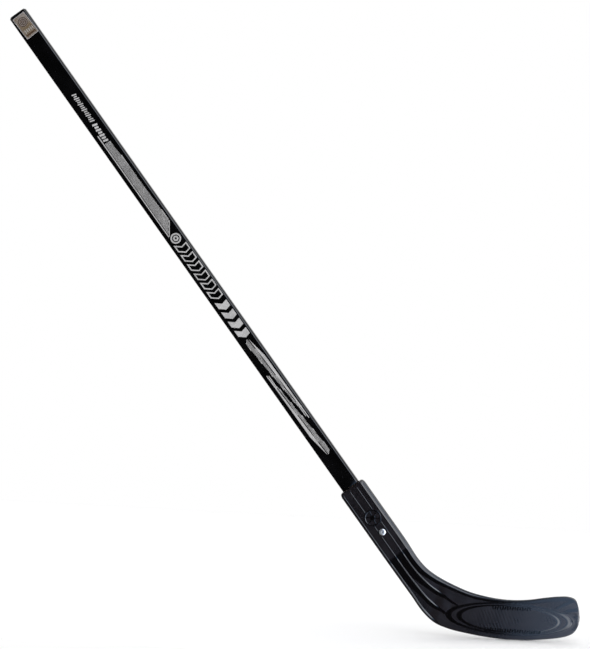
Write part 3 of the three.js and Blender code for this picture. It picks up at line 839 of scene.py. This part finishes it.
def hatchBars(outline, pitch, margin):     # crossed bars that stay inside a convex outline
    def span(axis, value):
        hits = []
        for a, b in zip(outline, outline[1:] + outline[:1]):
            if (a[axis] - value) * (b[axis] - value) < 0:
                t = (value - a[axis]) / (b[axis] - a[axis])
                hits.append(a[1 - axis] + t * (b[1 - axis] - a[1 - axis]))
        return (min(hits) + margin, max(hits) - margin) if len(hits) >= 2 else (0, 0)
    bars = []
    out = halfDepth + ink["lift"] + ink["high"] / 2
    for axis in (0, 1):
        low, high = min(p[axis] for p in outline), max(p[axis] for p in outline)
        for value in np.arange(low + pitch / 2, high, pitch):
            a, b = span(axis, value)
            if b - a > 1:
                middle = (a + b) / 2
                place = (value, middle, out) if axis == 0 else (middle, value, out)
                bars.append((place, b - a, (0, 0, 0 if axis == 0 else math.pi / 2)))
    return bars


def printBars(name, bars, width):
    piece = stampBars(name, bars, width, ink["high"], whiteInk)
    piece.data.transform(shaftPlace)
    standOn(piece, None)


def hatchPiece(name, outline):
    printBars(name, hatchBars(outline, ink["hatchPitch"], ink["hatchMargin"]), ink["hatchWide"])


longBand = {"outline": [(216.2, 3.1), (239, 5.0), (351, 7.3), (369.6, -5.4), (216.2, -5.4)],
            "rule": [(202, -7.2), (371.4, -7.2), (371.4, -5.9), (202, -5.9)],
            "slant": [(351.8, 7.3), (353.6, 7.3), (372, -5.6), (370.2, -5.6)]}
hatchPiece("print_long_hatch", longBand["outline"])
platesPiece("print_long_rules", [longBand["rule"], longBand["slant"]], whiteInk)

ticks = {"from": 137, "until": 183, "pitch": 3.1, "across": -0.6, "long": 4.4, "swell": 3.2, "wave": 0.36,
         "wide": 1.7, "boldFrom": 187, "boldUntil": 213, "boldPitch": 4.3, "boldAcross": -0.8,
         "boldLong": 7.2, "boldShorter": 1.6, "boldWide": 2.8}

def makeTicks():       # a row of slanting dashes whose heights swell and shrink
    out = halfDepth + ink["lift"] + ink["high"] / 2
    lean = -math.atan(ink["lean"])
    fine = []
    for down in np.arange(ticks["from"], ticks["until"], ticks["pitch"]):
        long = ticks["long"] + ticks["swell"] * math.sin(down * ticks["wave"]) ** 2
        fine.append(((down, ticks["across"], out), long, (0, 0, lean)))
    bold = []
    for i, down in enumerate(np.arange(ticks["boldFrom"], ticks["boldUntil"], ticks["boldPitch"])):
        long = ticks["boldLong"] - ticks["boldShorter"] * (i % 2)
        bold.append(((down, ticks["boldAcross"], out), long, (0, 0, lean)))
    printBars("print_fine_dashes", fine, ticks["wide"])
    printBars("print_bold_dashes", bold, ticks["boldWide"])

makeTicks()

badge = {"down": 378.1, "across": 0.2, "radius": 7.4, "ring": 2.1, "sides": 48,
         "core": 4.2, "coreRing": 2.6, "coreSides": 6}

def circleLoop(radius, sides):
    return [(badge["down"] + radius * math.cos(2 * math.pi * i / sides),
             badge["across"] + radius * math.sin(2 * math.pi * i / sides)) for i in range(sides)]

badgeRings = ((badge["radius"], badge["ring"], badge["sides"]),
              (badge["core"], badge["coreRing"], badge["coreSides"]))
framePiece("print_badge", [(circleLoop(radius, sides), circleLoop(radius - line, sides))
                           for radius, line, sides in badgeRings], whiteInk)

arrows = {"pitch": 15.5, "across": 0.5, "line": 1.6, "point": 4.4,
          "hollow": {"from": 387.2, "count": 6, "long": 10.8, "half": 8.6},
          "solid": {"from": 483.6, "count": 4, "long": 9.8, "half": 8.1}}

def arrowRow(row):
    starts = [row["from"] + i * arrows["pitch"] for i in range(row["count"])]
    return [chevron(down, arrows["across"], row["long"], arrows["point"], row["half"]) for down in starts]

hollow = [(loop, insetLoop(loop, arrows["line"])) for loop in arrowRow(arrows["hollow"])]
framePiece("print_hollow_chevrons", hollow, whiteInk)
platesPiece("print_solid_chevrons", arrowRow(arrows["solid"]), whiteInk)

wedge = {"outline": [(546.4, 1.0), (684, 6.7), (685.6, 6.0), (552.2, -4.9)],
         "stripe": [(547.2, 2.1), (580.4, 7.7), (684, 8.5), (684, 7.4)],
         "mirror": (643.9, 0.65)}      # the second wedge is the first one turned half round here

def turnedHalf(outline):
    return [(2 * wedge["mirror"][0] - a, 2 * wedge["mirror"][1] - b) for a, b in outline]

for name, turn in (("upper", lambda loop: loop), ("lower", turnedHalf)):
    hatchPiece("print_%s_wedge" % name, turn(wedge["outline"]))
    platesPiece("print_%s_stripe" % name, [turn(wedge["stripe"])], whiteInk)
print("prints ready")


# label: thin film with rounded corners, stuck on slightly askew
label = {"length": 34, "width": 19.4, "corner": 1.2, "high": 0.14, "soft": 0.05, "fromButt": 4,
         "turn": math.radians(2.4), "cornerSteps": 8, "border": 0.9, "inside": (7.2, 7.4),
         "rings": {"middle": -6.0, "edge": (6.6, 6.9), "wave": 2.9},
         "bars": {"from": 4.6, "until": 9.6, "soft": 0.2, "wave": 2.1},
         "lowBand": {"from": 11.2, "until": 14.3, "soft": 0.3}}

def foilFilm():          # bronze metallised film: silver edge, dark rings near the butt, pale bars beyond
    material, tree, shader = newMaterial("foilFilm", (0.36, 0.27, 0.18), 0.38, 0.35)
    mark = addNode(tree, "ShaderNodeAttribute", attribute_name="labelPlace").outputs["Vector"]
    part = addNode(tree, "ShaderNodeSeparateXYZ", {0: mark})
    along, across = part.outputs["X"], part.outputs["Y"]      # millimetres from the label's middle
    fromEdge = [addMath(tree, "SUBTRACT", addMath(tree, "ABSOLUTE", place), size / 2 - label["border"])
                for place, size in ((along, label["length"]), (across, label["width"]))]
    border = addRange(tree, addMath(tree, "MAXIMUM", *fromEdge), -0.1, 0.1)

    def between(band):      # 1 on this stretch along the label
        return addMath(tree, "MULTIPLY", addRange(tree, along, band["from"], band["from"] + band["soft"]),
                       addRange(tree, along, band["until"] - band["soft"], band["until"], 1.0, 0.0))

    rings, bars = label["rings"], label["bars"]
    fromMiddle = addMath(tree, "SUBTRACT", along, rings["middle"])
    spread = addMath(tree, "SQRT", addMath(tree, "ADD", addMath(tree, "POWER", fromMiddle, 2.0),
                                           addMath(tree, "POWER", across, 2.0)))
    disc = addRange(tree, spread, *rings["edge"], 1.0, 0.0)
    outwards = addMath(tree, "SINE", addMath(tree, "MULTIPLY", spread, rings["wave"]))
    circles = addRange(tree, outwards, -0.1, 0.25)
    sideways = addMath(tree, "SINE", addMath(tree, "MULTIPLY", across, bars["wave"]))
    stripes = addRange(tree, sideways, -0.05, 0.2)
    inside = addRange(tree, addMath(tree, "ABSOLUTE", across), *label["inside"], 1.0, 0.0)
    spots = useGroup(tree, speckle, Fine_scale=1500, Drift_scale=45)
    bronze = addMix(tree, addRange(tree, spots.outputs["Drift"], 0.35, 0.65),
                    (0.26, 0.19, 0.12, 1), (0.38, 0.33, 0.29, 1))
    darkDisc = addMix(tree, circles, (0.10, 0.065, 0.045, 1), (0.36, 0.30, 0.27, 1))
    shade = addMix(tree, disc, bronze, darkDisc)
    pale = addMath(tree, "MULTIPLY", addMath(tree, "MULTIPLY", between(bars), stripes), inside)
    shade = addMix(tree, pale, shade, (0.55, 0.53, 0.5, 1))
    dark = addMath(tree, "MULTIPLY", between(label["lowBand"]), inside)
    shade = addMix(tree, dark, shade, (0.12, 0.07, 0.04, 1))
    shade = addMix(tree, border, shade, (0.46, 0.44, 0.44, 1))
    tree.links.new(shade, shader.inputs["Base Color"])
    tree.links.new(addRange(tree, spots.outputs["Fine"], 0.3, 0.7, 0.3, 0.46), shader.inputs["Roughness"])
    addBump(tree, shader, spots.outputs["Drift"], 0.1, 0.0002)
    return material


def makeLabel():
    loops = []
    for inset, out in ((0, 0.0), (0, label["high"] - label["soft"]), (label["soft"], label["high"])):
        loop = []
        for quarter, (sx, sy) in enumerate(((1, 1), (-1, 1), (-1, -1), (1, -1))):
            cx, cy = sx * (label["length"] / 2 - label["corner"]), sy * (label["width"] / 2 - label["corner"])
            for step in range(label["cornerSteps"] + 1):
                angle = math.radians(90 * (quarter + step / label["cornerSteps"]))
                reach = label["corner"] - inset
                loop.append((cx + reach * math.cos(angle), cy + reach * math.sin(angle), out))
        loops += loop
    around = len(loops) // 3
    faces = ringFaces(3, around)
    faces += [tuple(reversed(range(around))), tuple(2 * around + i for i in range(around))]
    down = label["fromButt"] + label["length"] / 2
    place = shaftPlace @ Matrix.Translation((down, 0, halfDepth)) @ Matrix.Rotation(label["turn"], 4, "Z")
    piece = meshPiece("bronze_label", [place @ Vector(p) for p in loops], faces, foilFilm(), smooth=False)
    spots = piece.data.attributes.new("labelPlace", "FLOAT_VECTOR", "POINT")
    spots.data.foreach_set("vector", [value for p in loops for value in p])
    standOn(piece, "foil_label")

makeLabel()
print("label ready")


# moulded dashes in the oval's ring, along its top and its bottom
dashes = {"top": ((-33, 43.8), (19, 43.5)), "bottom": ((-42, 13.6), (35, 11.4)), "pitch": 3.4,
          "long": 5.2, "shorter": 1.2, "wide": 1.5, "high": 1.7, "proud": 0.45, "near": 3.2,
          "lean": 0.28, "thirdLean": -0.1}

def makeDashes():
    bars = []
    for start, end in (dashes["top"], dashes["bottom"]):
        for i, x in enumerate(np.arange(start[0], end[0], dashes["pitch"])):
            z = start[1] + (end[1] - start[1]) * (x - start[0]) / (end[0] - start[0])
            close = bladeFront[np.hypot(bladeFront[:, 0] - x, bladeFront[:, 2] - z) < dashes["near"]]
            y = close[:, 1].min() - dashes["proud"] + dashes["high"] / 2      # on the highest surface nearby
            swing = math.atan2(toeCurve(x + 1.0) - toeCurve(x - 1.0), 2.0)
            lean = dashes["lean"] if i % 3 else dashes["thirdLean"]
            turn = (Matrix.Rotation(swing, 3, "Z") @ Matrix.Rotation(math.pi / 2, 3, "X")
                    @ Matrix.Rotation(-lean, 3, "Z")).to_euler()
            bars.append(((x, y, z), dashes["long"] - dashes["shorter"] * (i % 2), tuple(turn)))
    piece = stampBars("moulded_dashes", bars, dashes["wide"], dashes["high"], plastic)
    piece.data.transform(Matrix.Scale(mm, 4))
    shine = piece.data.attributes.new("polishAndPaintedShade", "FLOAT", "POINT")
    shine.data.foreach_set("value", [1.0] * len(piece.data.vertices))
    standOn(piece, None)

makeDashes()
print("dashes ready")


# a pale floor that reflections don't see, so that only a faint shadow falls on it
floor = {"front": -0.27, "back": 1.6, "left": -2.2, "right": 1.6, "drop": 0.0006}

def makeFloor():
    material, tree, shader = newMaterial("paleFloor", (0.9, 0.9, 0.9), 0.7)
    spots = useGroup(tree, speckle, Fine_scale=300, Drift_scale=3)
    tree.links.new(addMix(tree, spots.outputs["Drift"], (0.89, 0.89, 0.9, 1), (0.93, 0.93, 0.93, 1)),
                   shader.inputs["Base Color"])
    corners = [(floor[x], floor[y], -floor["drop"])
               for x, y in (("left", "front"), ("right", "front"), ("right", "back"), ("left", "back"))]
    piece = meshPiece("floor", corners, [(0, 1, 2, 3)], material, smooth=False)
    piece.visible_glossy = False      # the gloss faces mirror the studio instead

makeFloor()
print("floor ready")
